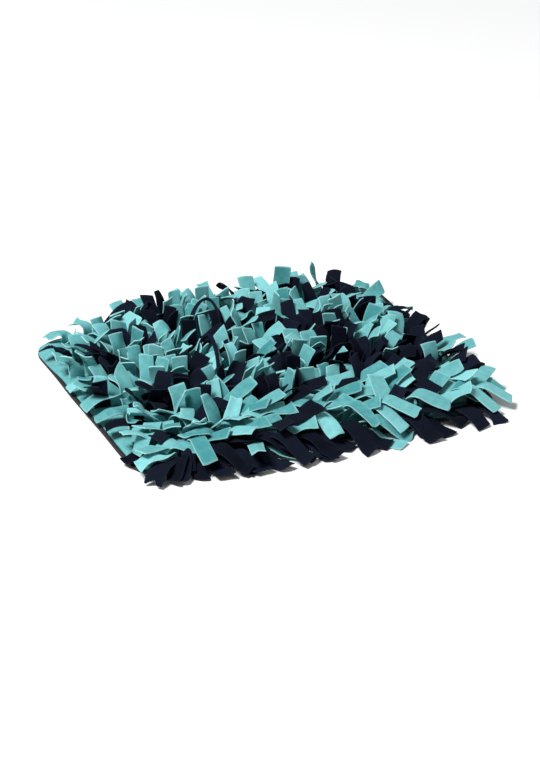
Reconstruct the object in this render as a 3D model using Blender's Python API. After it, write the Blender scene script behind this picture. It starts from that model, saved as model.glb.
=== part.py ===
"""A snuffle mat: a flat backing with a bound edge, a fleece ground on it, and sewn rows of fleece strips.

Metres, +Z up. The origin is at the middle of the underside. X runs along the front edge, -Y is the front.
"""
import math
import random
from collections import namedtuple

import bmesh
import bpy
from mathutils import Matrix, Vector
from mathutils.bvhtree import BVHTree

# Driving dimensions: the mat, the fleece's thickness, and the gap kept between pieces.
MAT_WIDTH = 0.515
MAT_DEPTH = 0.430
CORNER_RADIUS = 0.050
FLEECE = 0.0017
GAP = 0.0003

# The backing, and the tape bound round its edge.
BACKING_THICKNESS = 0.0022
BINDING_WIDTH = 0.0080
BINDING_HEIGHT = 0.0046
BINDING_WAVE = 0.0010
BINDING_WAVE_TURN = 2.4
BINDING_EASE = 0.0014
BINDING_STEP = 0.045
CORNER_STEPS = 4
INNER_INSET = BINDING_WIDTH + 2 * BINDING_WAVE + GAP

# The fleece ground's grid, and its unevenness: its height, and its waves per metre across and along.
GROUND_COLUMNS = 11
GROUND_LINES = 9
GROUND_WAVE = 0.0004
WAVES_ACROSS = 41.0
WAVES_ALONG = 53.0
WAVE_SHIFT = 0.7

# The band under each row, and the folded strips sewn across it in pairs of a front and a back strip.
BAND_WIDTH = 0.0080
BAND_THICKNESS = 0.0016
BAND_LEFT = -0.222
BAND_RIGHT = 0.234
BAND_END = 0.002
FLAT_ANGLE = 1.0
PAIRS_IN_ROW = 16
STRIP_WIDTH = 0.0225
NARROWEST = 0.84
WIDEST = 1.08
SIDE_ROOM = 0.001
SLANT = 0.0025
WIDTH_SEED = 76

GROUND_TOP = BACKING_THICKNESS + GAP + FLEECE + GROUND_WAVE
BAND_BOTTOM = GROUND_TOP + GAP
BAND_TOP = BAND_BOTTOM + BAND_THICKNESS

# How a strip is led from its root to its tip, and how far from it another strip may reach it. It turns from
# the line of its seam within the first share of its length.
FINE_STEPS = 12
TURN_SHARE = 0.5
FEWEST_SEGMENTS = 3
MOST_SEGMENTS = 4
BENT = 50.0
CLEARANCE = 0.0002
NEAR = 0.18
TRIES = 300
FIRST_TRIES = 100

# How much each strip varies in degrees, and what a strip with no room is changed by in its later tries.
ROOT_SPREAD = 8.0
TURN_SPREAD = 25.0
LATER_ROOT = (-10.0, 30.0)
LATER_TIP = (-10.0, 70.0)
LATER_HEADING_SPREAD = 40.0
LATER_LENGTH = (0.58, 0.86)

# The pile's outer limits, and how much further a strip may go that is set by hand. The front one skews, as
# the skirt reaches further out towards the right.
PILE_HEIGHT = 0.056
SET_HEIGHT = 0.066
SET_LEFT = -0.278
SET_RIGHT = 0.287
PILE_LEFT = -0.265
PILE_RIGHT = 0.274
PILE_FRONT = -0.270
FRONT_SKEW = 0.050
PILE_BACK = 0.246

# Where the pile stands lower: its place, how far that reaches, and by how much. They are the back left and
# back right corners, the back edge's two halves and the left edge.
LOW_PLACES = (
    (-0.255, 0.215, 0.150, 0.038), (0.250, 0.220, 0.170, 0.031), (0.290, 0.110, 0.115, 0.044),
    (-0.060, 0.260, 0.100, 0.008), (0.110, 0.260, 0.100, 0.010), (-0.280, 0.020, 0.110, 0.018),
    (-0.140, 0.245, 0.085, 0.016),
)

# What the strips rest on: the rows, then a ramp over the bound edge, then the floor.
REST_ON_MAT = BAND_TOP + GAP
REST_ON_FLOOR = 0.0003
RAMP_START = 0.004
RAMP_END = 0.020

NAVY = (0.010, 0.014, 0.032, 1.0)
MINT = (0.190, 0.610, 0.570, 1.0)
BLACK = (0.012, 0.012, 0.014, 1.0)

# Each row has a front and a back line of strips. A line's lift is its strips' angle above the level, in
# degrees, at the root and at the tip, its heading is the way they lean in plan, and its roll turns them about
# their length. The spreads vary them. A row's wide is how much wider than the others its strips are cut.
Line = namedtuple("Line", "root_lift tip_lift tip_spread heading heading_spread roll roll_spread bend_place "
                  "bend_length shortest longest")
Row = namedtuple("Row", "colour y wide front back")

SKIRT_FRONT = Line(18, -44, 6, -60, 8, 13, 4, (0.30, 0.44), (0.45, 0.8), 0.072, 0.092)
SKIRT_BACK = Line(38, -40, 8, -57, 9, 15, 5, (0.30, 0.42), (0.40, 0.7), 0.078, 0.096)
SHINGLE_FRONT = Line(74, -38, 8, -56, 12, 12, 7, (0.34, 0.44), (0.30, 0.5), 0.072, 0.086)
SHINGLE_BACK = Line(82, -30, 12, -60, 18, 10, 11, (0.36, 0.46), (0.30, 0.5), 0.072, 0.086)
LOOSE_FRONT = Line(80, 46, 28, -84, 46, 0, 22, (0.40, 0.75), (0.5, 1.4), 0.046, 0.064)
LOOSE_BACK = Line(84, 54, 26, 84, 50, 0, 22, (0.40, 0.75), (0.5, 1.4), 0.044, 0.062)
LAST_BACK = Line(78, 40, 22, 90, 34, 0, 16, (0.40, 0.75), (0.4, 1.4), 0.044, 0.060)

ROWS = (
    Row(NAVY, -0.196, 1.10, SKIRT_FRONT, SKIRT_BACK),
    Row(MINT, -0.150, 1.06, SHINGLE_FRONT, SHINGLE_BACK),
    Row(MINT, -0.102, 1.04, SHINGLE_FRONT, LOOSE_BACK),
    Row(NAVY, -0.054, 1.0, LOOSE_FRONT, LOOSE_BACK),
    Row(MINT, -0.006, 1.0, LOOSE_FRONT, LOOSE_BACK),
    Row(NAVY, 0.042, 1.0, LOOSE_FRONT, LOOSE_BACK),
    Row(MINT, 0.090, 1.0, LOOSE_FRONT, LOOSE_BACK),
    Row(NAVY, 0.138, 1.0, LOOSE_FRONT, LOOSE_BACK),
    Row(MINT, 0.186, 1.0, LOOSE_FRONT, LAST_BACK),
)

# Strips that are set by hand: the burst at the front left corner, the bare left side's edge, and those
# that stand out of the rest. Columns: row and pair (from the left), line, lifts, heading, turn, roll, length.
Set = namedtuple("Set", "row pair line root_lift tip_lift heading turn roll length")

SET_STRIPS = (
    Set(1, 0, "front", 48, -52, -138, 0, 0, 0.062),
    Set(1, 0, "back", 60, -40, -164, 0, 0, 0.058),
    Set(1, 1, "back", 54, -30, -30, 0, 0, 0.060),
    Set(1, 14, "back", 34, -36, -76, 0, 0, 0.066),
    Set(1, 15, "front", 18, -30, -74, 0, 0, 0.052),
    Set(2, 0, "front", 18, -26, -146, -26, 0, 0.058),
    Set(2, 0, "back", 70, -10, 168, 0, 20, 0.056),
    Set(2, 1, "front", 66, -30, -143, 0, 0, 0.058),
    Set(2, 1, "back", 74, -18, -12, 0, -6, 0.044),
    Set(2, 3, "back", 88, 50, 96, 24, 0, 0.058),
    Set(2, 4, "front", 76, -46, -96, 0, 0, 0.056),
    Set(2, 14, "front", 50, -34, -52, 0, 0, 0.064),
    Set(2, 15, "back", 58, -40, -42, 0, 0, 0.070),
    Set(3, 0, "back", 62, -32, 174, 0, 0, 0.056),
    Set(3, 1, "back", 66, -4, 168, 0, 10, 0.054),
    Set(3, 2, "front", 64, 4, 176, 0, 30, 0.052),
    Set(3, 5, "front", 58, -44, -82, 0, 0, 0.082),
    Set(3, 7, "front", 66, -44, -82, 0, 0, 0.070),
    Set(3, 15, "front", 54, -16, -34, 0, 0, 0.060),
    Set(4, 0, "front", 54, -40, 176, 0, 0, 0.056),
    Set(4, 3, "back", 66, -30, 172, 0, 30, 0.074),
    Set(4, 8, "front", 88, 78, -112, 0, 0, 0.052),
    Set(4, 9, "front", 86, 74, -70, 0, 0, 0.050),
    Set(4, 10, "back", 66, 44, 12, 0, -20, 0.046),
    Set(4, 15, "back", 52, -4, 2, 0, 0, 0.062),
    Set(5, 0, "front", 60, -46, -170, 0, 0, 0.062),
    Set(5, 2, "front", 88, 74, -136, 0, 0, 0.048),
    Set(5, 3, "front", 88, 80, 78, 0, 0, 0.050),
    Set(5, 10, "front", 88, 84, -110, 0, 0, 0.046),
    Set(5, 11, "front", 88, 84, 67, 0, 0, 0.052),
    Set(6, 0, "front", 58, -42, 176, 0, 0, 0.060),
    Set(7, 2, "front", 86, 76, 30, 0, 0, 0.054),
    Set(7, 14, "front", 88, 80, 60, 0, 0, 0.040),
    Set(8, 2, "front", 88, 72, 84, 0, 6, 0.044),
    Set(8, 15, "back", 62, 22, 6, 0, 66, 0.034),
    Set(9, 2, "back", 82, -12, 16, 0, 34, 0.066),
    Set(9, 5, "front", 88, 84, -60, 0, 0, 0.044),
    Set(9, 5, "back", 88, 62, 140, 0, 0, 0.052),
    Set(9, 7, "back", 88, 84, 100, 0, 0, 0.048),
    Set(9, 8, "front", 88, 84, -90, 0, 0, 0.042),
    Set(9, 9, "back", 90, 20, 146, 0, 34, 0.054),
    Set(9, 11, "back", 89, 76, 24, 0, 34, 0.057),
    Set(9, 13, "back", 88, 72, 157, 0, 0, 0.056),
)

# Near the left and right edges the strips turn outwards and hang lower.
EDGE_TURN = 0.070
RIGHT_MARGIN = 0.030
LEFT_MARGIN = 0.040
RIGHT_HEADING = -14.0
LEFT_HEADING = -168.0
EDGE_SHARE = 0.72
LEFT_DROOP = 26.0
RIGHT_DROOP = 6.0
ROOT_DROOP = 16.0
LEFT_SHORTER = 0.18

# Where along a strip it bends, from 0 at the root to 1 at the tip, and over how much of it.
EVEN_BEND = (0.5, 1.5)

Pose = namedtuple("Pose", "root root_lift tip_lift bend heading turn roll length width slant segments")


def ceiling(x, y):
    """How high the pile may stand at a place."""
    fall = sum(depth * smooth(1.0 - math.hypot(x - spot_x, y - spot_y) / reach)
               for spot_x, spot_y, reach, depth in LOW_PLACES)
    return PILE_HEIGHT - fall


def inside_pile(rings, by_hand=False):
    """Whether a strip stays within the pile's reach. One that is set by hand may go a little further."""
    left, right = (SET_LEFT, SET_RIGHT) if by_hand else (PILE_LEFT, PILE_RIGHT)
    for ring in rings:
        for corner in ring.values():
            front = PILE_FRONT - FRONT_SKEW * corner.x
            if not left < corner.x < right or not front < corner.y < PILE_BACK:
                return False
            if corner.z > (SET_HEIGHT if by_hand else ceiling(corner.x, corner.y)):
                return False
    return True


def smooth(value):
    """An even change from 0 to 1 that starts and ends gently."""
    value = min(max(value, 0.0), 1.0)
    return value * value * (3.0 - 2.0 * value)


def turn_between(first, second):
    """The signed turn in degrees from one heading to another, the short way round."""
    return (second - first + 180.0) % 360.0 - 180.0


def outside(x, y):
    """How far a point lies outside the mat's outline; below zero inside it."""
    across = abs(x) - (MAT_WIDTH / 2 - CORNER_RADIUS)
    along = abs(y) - (MAT_DEPTH / 2 - CORNER_RADIUS)
    reach = math.hypot(max(across, 0.0), max(along, 0.0))
    return reach + min(max(across, along), 0.0) - CORNER_RADIUS


def rest_height(x, y):
    """The lowest that a strip may lie: on the rows, down a ramp over the bound edge, or on the floor."""
    down = (outside(x, y) - RAMP_START) / (RAMP_END - RAMP_START)
    return REST_ON_MAT + (REST_ON_FLOOR - REST_ON_MAT) * min(max(down, 0.0), 1.0)


def material(name, colour, roughness):
    made = bpy.data.materials.new(name)
    made.use_nodes = True
    shader = made.node_tree.nodes["Principled BSDF"]
    shader.inputs["Base Color"].default_value = colour
    shader.inputs["Roughness"].default_value = roughness
    shader.inputs["Metallic"].default_value = 0.0
    return made


def add_object(name, data, collection, finish):
    made = bpy.data.objects.new(name, data)
    data.materials.append(finish)
    collection.objects.link(made)
    return made


def outline_points(inset, wave):
    """Points round the rounded rectangle, with a slight unevenness."""
    half_x = MAT_WIDTH / 2 - CORNER_RADIUS
    half_y = MAT_DEPTH / 2 - CORNER_RADIUS
    radius = CORNER_RADIUS - inset
    corners = ((half_x, half_y, 0), (-half_x, half_y, 90), (-half_x, -half_y, 180), (half_x, -half_y, 270))
    points = []
    for index, (centre_x, centre_y, start) in enumerate(corners):
        for part in range(CORNER_STEPS + 1):
            angle = math.radians(start + 90 * part / CORNER_STEPS)
            across, along = radius * math.cos(angle), radius * math.sin(angle)
            points.append(Vector((centre_x + across, centre_y + along, 0.0)))
        next_x, next_y, next_start = corners[(index + 1) % 4]
        angle = math.radians(next_start)
        arc_start = Vector((next_x + radius * math.cos(angle), next_y + radius * math.sin(angle), 0.0))
        arc_end = points[-1].copy()
        count = round((arc_start - arc_end).length / BINDING_STEP)
        points.extend(arc_end.lerp(arc_start, step / count) for step in range(1, count))
    for index, point in enumerate(points):
        outward = Vector((point.x / MAT_WIDTH, point.y / MAT_DEPTH, 0.0)).normalized()
        point += outward * wave * math.sin(BINDING_WAVE_TURN * index)
    return points


def closed_curve(name, points):
    curve = bpy.data.curves.new(name, "CURVE")
    curve.dimensions = "2D"
    spline = curve.splines.new("POLY")
    spline.points.add(len(points) - 1)
    for target, point in zip(spline.points, points):
        target.co = (point.x, point.y, 0.0, 1.0)
    spline.use_cyclic_u = True
    return curve


def backing(collection):
    """The flat underside, cut to the inside of its binding."""
    curve = closed_curve("backing", outline_points(INNER_INSET, 0.0))
    curve.fill_mode = "BOTH"
    curve.extrude = BACKING_THICKNESS / 2
    made = add_object("backing", curve, collection, material("black_backing", BLACK, 0.85))
    made.location.z = BACKING_THICKNESS / 2
    return made


def binding(collection, guides):
    """The tape round the edge: a flattened section with eased corners, led round the outline."""
    half_w = BINDING_WIDTH / 2
    half_h = BINDING_HEIGHT / 2
    ease = BINDING_EASE
    quarter = ((half_w - ease, half_h), (half_w, half_h - ease))
    shape = [Vector((x, y, 0.0)) for x, y in quarter]
    shape += [Vector((x, -y, 0.0)) for x, y in reversed(quarter)]
    shape += [Vector((-x, -y, 0.0)) for x, y in quarter]
    shape += [Vector((-x, y, 0.0)) for x, y in reversed(quarter)]
    guide = bpy.data.objects.new("binding_section", closed_curve("binding_section", shape))
    guide.hide_render = True
    guide.display_type = "WIRE"
    guides.objects.link(guide)
    curve = closed_curve("binding", outline_points(half_w + BINDING_WAVE, BINDING_WAVE))
    curve.bevel_mode = "OBJECT"
    curve.bevel_object = guide
    made = add_object("binding", curve, collection, material("black_binding", BLACK, 0.75))
    made.location.z = half_h
    return made


def round_corner(point, half_x, half_y, radius):
    """Carry a point near a square corner onto a round one."""
    across = abs(point.x) - (half_x - radius)
    along = abs(point.y) - (half_y - radius)
    if across > 0.0 and along > 0.0:
        scale = max(across, along) / math.hypot(across, along)
        point.x = math.copysign(half_x - radius + across * scale, point.x)
        point.y = math.copysign(half_y - radius + along * scale, point.y)


def fleece_ground(collection):
    """The fleece sheet under the rows, a little uneven on top."""
    half_x = MAT_WIDTH / 2 - INNER_INSET
    half_y = MAT_DEPTH / 2 - INNER_INSET
    sheet = bmesh.new()
    bmesh.ops.create_grid(sheet, x_segments=GROUND_COLUMNS, y_segments=GROUND_LINES, size=1.0)
    for vert in sheet.verts:
        vert.co = Vector((vert.co.x * half_x, vert.co.y * half_y, 0.0))
        round_corner(vert.co, half_x, half_y, CORNER_RADIUS - INNER_INSET)
        wave = math.sin(vert.co.x * WAVES_ACROSS) * math.cos(vert.co.y * WAVES_ALONG + WAVE_SHIFT)
        vert.co.z = BACKING_THICKNESS + GAP + FLEECE + GROUND_WAVE * wave
    below = bmesh.ops.extrude_face_region(sheet, geom=sheet.faces[:], use_keep_orig=True)["geom"]
    underside = [item for item in below if isinstance(item, bmesh.types.BMVert)]
    for vert in underside:
        vert.co.z = BACKING_THICKNESS + GAP
    bmesh.ops.recalc_face_normals(sheet, faces=sheet.faces[:])
    mesh = bpy.data.meshes.new("fleece_ground")
    sheet.to_mesh(mesh)
    sheet.free()
    return add_object("fleece_ground", mesh, collection, material("mint_ground", MINT, 0.95))


def strip_rings(pose, grow):
    """The strip's cross-sections from root to tip, each as four corners keyed by side and face."""
    point = pose.root.copy()
    half_w = pose.width / 2 + grow
    half_t = FLEECE / 2 + grow
    across_turn = turn_between(0.0, pose.heading + 90.0)
    if abs(across_turn) > 90.0:
        across_turn -= math.copysign(180.0, across_turn)
    corners = [(side, face) for side in (-1, 1) for face in (-1, 1)]
    rings = [{(side, face): point + Vector((side * half_w, face * half_t, 0.0)) for side, face in corners}]
    for step in range(1, FINE_STEPS + 1):
        part = step / FINE_STEPS
        bent = smooth((part - pose.bend[0]) / pose.bend[1] + 0.5)
        lift = math.radians(pose.root_lift + (pose.tip_lift - pose.root_lift) * bent)
        heading = math.radians(pose.heading + pose.turn * part)
        level = math.cos(lift)
        along = Vector((level * math.cos(heading), level * math.sin(heading), math.sin(lift)))
        side_way = math.radians(across_turn * smooth(part / TURN_SHARE) + pose.turn * part)
        across = Vector((math.cos(side_way), math.sin(side_way), 0.0))
        across = (across - along * across.dot(along)).normalized()
        across.rotate(Matrix.Rotation(math.radians(pose.roll * part), 3, along))
        outward = along.cross(across)
        point = point + along * (pose.length / FINE_STEPS)
        droop = abs(across.z) * half_w + abs(outward.z) * half_t + abs(along.z * pose.slant)
        point.z = max(point.z, rest_height(point.x, point.y) + droop)
        if step % (FINE_STEPS // pose.segments) == 0:
            slant = along * (pose.slant if step == FINE_STEPS else 0.0)
            rings.append({
                (side, face): point + (across * half_w + slant) * side + outward * half_t * face
                for side, face in corners
            })
    return rings


def strip_tree(rings):
    """A search tree of the strip's faces, to find where two strips would cross."""
    points = [ring[key] for ring in rings for key in ((-1, -1), (1, -1), (1, 1), (-1, 1))]
    faces = [(0, 1, 2, 3)]
    for low in range(0, len(points) - 4, 4):
        high = low + 4
        faces += [(low, low + 1, high + 1), (low, high + 1, high)]
        faces += [(low + 3, high + 2, low + 2), (low + 3, high + 3, high + 2)]
        faces += [(low + 1, low + 2, high + 2, high + 1), (low, high, high + 3, low + 3)]
    faces.append(tuple(range(len(points) - 4, len(points))))
    return BVHTree.FromPolygons(points, faces)


def pose_strip(line, root, width, chance):
    """One strip's pose: its line's own lean, turned outwards near the left and right edges, and varied."""
    near_right = smooth(1.0 - (MAT_WIDTH / 2 - root.x - RIGHT_MARGIN) / EDGE_TURN)
    near_left = smooth(1.0 - (MAT_WIDTH / 2 + root.x - LEFT_MARGIN) / EDGE_TURN)
    heading = line.heading + chance.gauss(0.0, line.heading_spread)
    heading += turn_between(heading, RIGHT_HEADING) * near_right * EDGE_SHARE
    heading += turn_between(heading, LEFT_HEADING) * near_left * EDGE_SHARE
    root_lift = line.root_lift + chance.uniform(-ROOT_SPREAD, ROOT_SPREAD)
    root_lift -= ROOT_DROOP * max(near_right, near_left)
    tip_lift = line.tip_lift + chance.gauss(0.0, line.tip_spread)
    tip_lift -= LEFT_DROOP * near_left + RIGHT_DROOP * near_right
    length = chance.uniform(line.shortest, line.longest) * (1.0 - LEFT_SHORTER * near_left)
    return Pose(
        root=root,
        root_lift=root_lift,
        tip_lift=tip_lift,
        bend=(chance.uniform(*line.bend_place), chance.uniform(*line.bend_length)),
        heading=heading,
        turn=chance.uniform(-TURN_SPREAD, TURN_SPREAD),
        roll=line.roll + chance.gauss(0.0, line.roll_spread),
        length=length,
        width=width,
        slant=chance.uniform(-SLANT, SLANT),
        segments=MOST_SEGMENTS if root_lift - tip_lift > BENT else FEWEST_SEGMENTS,
    )


def row_pairs(number):
    """The places and widths of a row's folded strips, each sewn down across its middle."""
    chance = random.Random(WIDTH_SEED + number)
    pitch = (BAND_RIGHT - BAND_LEFT) / PAIRS_IN_ROW
    for index in range(PAIRS_IN_ROW):
        width = STRIP_WIDTH * ROWS[number - 1].wide * chance.uniform(NARROWEST, WIDEST)
        spare = (pitch - width) / 2 - SIDE_ROOM
        yield BAND_LEFT + pitch * (index + 0.5) + chance.uniform(-spare, spare), width


def set_pose(item, root, width):
    """The pose of a strip that is set by hand."""
    return Pose(
        root=root, root_lift=item.root_lift, tip_lift=item.tip_lift, bend=EVEN_BEND, heading=item.heading,
        turn=item.turn, roll=item.roll, length=item.length, width=width, slant=0.0, segments=MOST_SEGMENTS,
    )


def try_poses(line, root, width, chance):
    """A strip's poses to try: those of its line first, then shorter ones that stand up in the room left."""
    for attempt in range(TRIES):
        pose = pose_strip(line, root, width, chance)
        if attempt > FIRST_TRIES:
            pose = pose._replace(
                root_lift=min(pose.root_lift + chance.uniform(*LATER_ROOT), 90.0),
                tip_lift=pose.tip_lift + chance.uniform(*LATER_TIP),
                heading=pose.heading + chance.gauss(0.0, LATER_HEADING_SPREAD),
                length=pose.length * chance.uniform(*LATER_LENGTH),
            )
        yield pose


def lay_out():
    """Choose every strip's pose, row by row, so that no strip crosses another."""
    offset = (BAND_WIDTH - FLEECE) / 2
    set_by_hand = {(item.row, item.pair, item.line): item for item in SET_STRIPS}
    places = []
    for number, row in enumerate(ROWS, start=1):
        for pair, (x, width) in enumerate(row_pairs(number)):
            for line, y in (("front", row.y - offset), ("back", row.y + offset)):
                places.append(((number, pair, line), Vector((x, y, BAND_TOP)), width))
    places.sort(key=lambda place: place[0] not in set_by_hand)
    placed = []
    layout = [[] for row in ROWS]
    for key, root, width in places:
        number, pair, line = key
        near = [tree for spot, tree in placed if (spot - root).length < NEAR]
        if key in set_by_hand:
            poses = [set_pose(set_by_hand[key], root, width)]
        else:
            chance = random.Random(number * 1000 + pair * 10 + (line == "back"))
            poses = try_poses(getattr(ROWS[number - 1], line), root, width, chance)
        for pose in poses:
            rings = strip_rings(pose, CLEARANCE)
            tree = strip_tree(rings)
            if inside_pile(rings, key in set_by_hand) and not any(tree.overlap(other) for other in near):
                placed.append((root, tree))
                layout[number - 1].append(pose)
                break
    return layout


def draw_out(band, face, rings):
    """Extrude a strip from its root face through its cross-sections."""
    last = {key: min(face.verts, key=lambda vert: (vert.co - spot).length) for key, spot in rings[0].items()}
    for ring in rings[1:]:
        face = bmesh.ops.extrude_discrete_faces(band, faces=[face])["faces"][0]
        fresh = {key: min(face.verts, key=lambda vert: (vert.co - last[key].co).length) for key in ring}
        for key, vert in fresh.items():
            vert.co = ring[key]
        for side in (-1, 1):
            corners = {last[-1, side], last[1, side], fresh[-1, side], fresh[1, side]}
            broad = next(item for item in fresh[1, side].link_faces if set(item.verts) == corners)
            bmesh.utils.face_split(broad, last[-1, side], fresh[1, side])
        last = fresh


def row_of_strips(row, number, poses, collection):
    """A band with its strips drawn out of its top, all one closed body."""
    spans = [(x - width / 2, x + width / 2) for x, width in row_pairs(number)]
    x_lines = [BAND_LEFT - BAND_END] + [edge for span in spans for edge in span] + [BAND_RIGHT + BAND_END]
    half = BAND_WIDTH / 2
    y_lines = [row.y - half, row.y - half + FLEECE, row.y + half - FLEECE, row.y + half]
    columns = len(x_lines) - 1
    band = bmesh.new()
    bmesh.ops.create_grid(band, x_segments=columns, y_segments=3, size=1.0)
    for vert in band.verts:
        column = round((vert.co.x + 1.0) / 2.0 * columns)
        line = round((vert.co.y + 1.0) / 2.0 * 3)
        vert.co = (x_lines[column], y_lines[line], BAND_TOP)
    tops = band.faces[:]
    below = bmesh.ops.extrude_face_region(band, geom=tops, use_keep_orig=True)["geom"]
    for item in below:
        if isinstance(item, bmesh.types.BMVert):
            item.co.z = BAND_BOTTOM
    bmesh.ops.recalc_face_normals(band, faces=band.faces[:])
    top_verts = {vert for face in tops for vert in face.verts}
    lower = [vert for vert in band.verts if vert not in top_verts]
    plain = [edge for vert in lower for edge in vert.link_edges]
    bmesh.ops.dissolve_limit(band, angle_limit=math.radians(FLAT_ANGLE), verts=lower, edges=list(set(plain)))
    roots = [min(tops, key=lambda face: (face.calc_center_median() - pose.root).length) for pose in poses]
    for face, pose in zip(roots, poses):
        draw_out(band, face, strip_rings(pose, 0.0))
    name = f"strip_row_{number}"
    mesh = bpy.data.meshes.new(name)
    band.to_mesh(mesh)
    band.free()
    return add_object(name, mesh, collection, material(name + "_fleece", row.colour, 0.95))


def main():
    for old in list(bpy.data.objects):
        bpy.data.objects.remove(old, do_unlink=True)
    mat = bpy.data.collections.new("snuffle_mat")
    guides = bpy.data.collections.new("guides")
    bpy.context.scene.collection.children.link(mat)
    bpy.context.scene.collection.children.link(guides)
    backing(mat)
    binding(mat, guides)
    fleece_ground(mat)
    for number, (row, poses) in enumerate(zip(ROWS, lay_out()), start=1):
        row_of_strips(row, number, poses, mat)


if __name__ == "__main__":
    main()
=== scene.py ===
"""A fleece snuffle mat on a pale floor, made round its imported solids. Metres, +Z up, -Y to the front."""
import math
import random
from collections import namedtuple
from itertools import islice

import bmesh
import bpy
import numpy as np
from mathutils import Matrix, Vector, noise
from mathutils.bvhtree import BVHTree


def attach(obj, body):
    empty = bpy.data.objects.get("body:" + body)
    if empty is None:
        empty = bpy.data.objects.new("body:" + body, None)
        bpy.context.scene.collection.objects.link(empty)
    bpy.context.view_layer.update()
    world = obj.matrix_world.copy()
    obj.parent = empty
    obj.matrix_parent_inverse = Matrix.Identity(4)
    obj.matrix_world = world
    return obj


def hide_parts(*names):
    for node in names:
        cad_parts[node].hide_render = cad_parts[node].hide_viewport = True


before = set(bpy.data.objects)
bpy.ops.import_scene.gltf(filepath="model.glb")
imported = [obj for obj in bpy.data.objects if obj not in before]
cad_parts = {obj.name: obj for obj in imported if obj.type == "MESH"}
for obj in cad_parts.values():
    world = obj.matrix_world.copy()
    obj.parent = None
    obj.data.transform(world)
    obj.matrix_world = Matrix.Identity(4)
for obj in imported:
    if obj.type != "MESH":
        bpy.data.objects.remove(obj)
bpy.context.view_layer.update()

# Camera: a long lens, turned a little to the left of the front and looking down on the pile.
CAMERA_LENS = 164.9
CAMERA_SENSOR = 36.0
CAMERA_TARGET = Vector((-0.0110, -0.0535, 0.0200))
CAMERA_TURN = math.radians(-23.048)
CAMERA_RISE = math.radians(26.318)
CAMERA_DISTANCE = 4.631


def hang(name, data, place, away):
    """Put the camera or a lamp in its place, facing the opposite way to away."""
    made = bpy.data.objects.new(name, data)
    made.location = place
    made.rotation_mode = "QUATERNION"
    made.rotation_quaternion = away.to_track_quat("Z", "Y")
    bpy.context.scene.collection.objects.link(made)
    return made


camera_data = bpy.data.cameras.new("camera")
camera_data.lens = CAMERA_LENS
camera_data.sensor_width = CAMERA_SENSOR
camera_back = Vector((math.sin(CAMERA_TURN) * math.cos(CAMERA_RISE),
                      -math.cos(CAMERA_TURN) * math.cos(CAMERA_RISE), math.sin(CAMERA_RISE)))
camera_place = CAMERA_TARGET + camera_back * CAMERA_DISTANCE
bpy.context.scene.camera = hang("camera", camera_data, camera_place, camera_back)
bpy.context.scene.view_settings.view_transform = "Standard"


class Thread:
    """An output socket of a material's nodes. Arithmetic on threads adds the nodes that work it out."""

    def __init__(self, tree, socket=None):
        self.tree = tree
        self.socket = socket

    def node(self, kind, settings, sockets, output=0):
        made = self.tree.nodes.new(kind)
        for name, value in settings.items():
            setattr(made, name, value)
        for name, value in sockets.items():
            if isinstance(value, Thread):
                self.tree.links.new(value.socket, made.inputs[name])
            else:
                made.inputs[name].default_value = value
        return Thread(self.tree, made.outputs[output])

    def math(self, operation, first, second=0.0, clamp=False):
        settings = {"operation": operation, "use_clamp": clamp}
        return self.node("ShaderNodeMath", settings, {0: first, 1: second})

    def __add__(self, other):
        return self.math("ADD", self, other)

    def __sub__(self, other):
        return self.math("SUBTRACT", self, other)

    def __mul__(self, other):
        return self.math("MULTIPLY", self, other)

    def __rsub__(self, other):
        return self.math("SUBTRACT", other, self)

    __radd__ = __add__
    __rmul__ = __mul__

    def into(self, shader, name):
        self.tree.links.new(self.socket, shader.inputs[name])

    def mixed(self, low, high):
        """A colour that goes from low to high as this thread goes from 0 to 1."""
        return self.node("ShaderNodeMix", {"data_type": "RGBA"}, {0: self, 6: low, 7: high}, output=2)


# Floor: a plain pale studio sweep that carries the mat.
FLOOR_SIZE = 40.0
FLOOR_DROP = 0.0002
bpy.ops.mesh.primitive_plane_add(size=FLOOR_SIZE, location=(0.0, 0.0, -FLOOR_DROP))
floor = bpy.context.object
floor.name = "floor"
floor_finish = bpy.data.materials.new("pale_floor")
floor_finish.use_nodes = True
floor_shader = floor_finish.node_tree.nodes["Principled BSDF"]
floor_shader.inputs["Roughness"].default_value = 0.9
floor_shader.inputs["Specular IOR Level"].default_value = 0.1
floor_thread = Thread(floor_finish.node_tree)
floor_mottle = floor_thread.node("ShaderNodeTexNoise", {}, {"Scale": 3.0, "Detail": 2.0})
floor_colour = floor_mottle.mixed((0.86, 0.86, 0.86, 1.0), (0.90, 0.90, 0.90, 1.0))
floor_colour.into(floor_shader, "Base Color")
floor.data.materials.append(floor_finish)

# Light: one broad soft lamp high over the left of the mat, a weak one low at its right, and a white room.
ROOM_LIGHT = 0.20
for lamp_name, place, size, power in (
    ("key_light", Vector((-2.6, -0.5, 4.6)), 1.9, 385.0),
    ("side_light", Vector((2.6, -0.6, 1.9)), 3.0, 22.0),
):
    lamp_data = bpy.data.lights.new(lamp_name, "AREA")
    lamp_data.shape = "DISK"
    lamp_data.size = size
    lamp_data.energy = power
    hang(lamp_name, lamp_data, place, place)
room = bpy.data.worlds.new("white_room")
room.use_nodes = True
room.node_tree.nodes["Background"].inputs["Color"].default_value = (0.97, 0.985, 1.0, 1.0)
room.node_tree.nodes["Background"].inputs["Strength"].default_value = ROOM_LIGHT
bpy.context.scene.world = room


# Backing: the black underside, a plain woven cloth cut to the mat's outline, its edge inside the binding.
# It lies flat on the floor.
MAT_WIDTH = 0.515
MAT_DEPTH = 0.430
CORNER_RADIUS = 0.050
BACKING_THICKNESS = 0.0022
BACKING_TUCK = 0.0040
BACKING_COLUMNS = 52
BACKING_LINES = 44
BACKING_WAVE = 0.00025
BACKING_WAVE_SCALE = 24.0
CLOTH_THREAD = 0.0009


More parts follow.
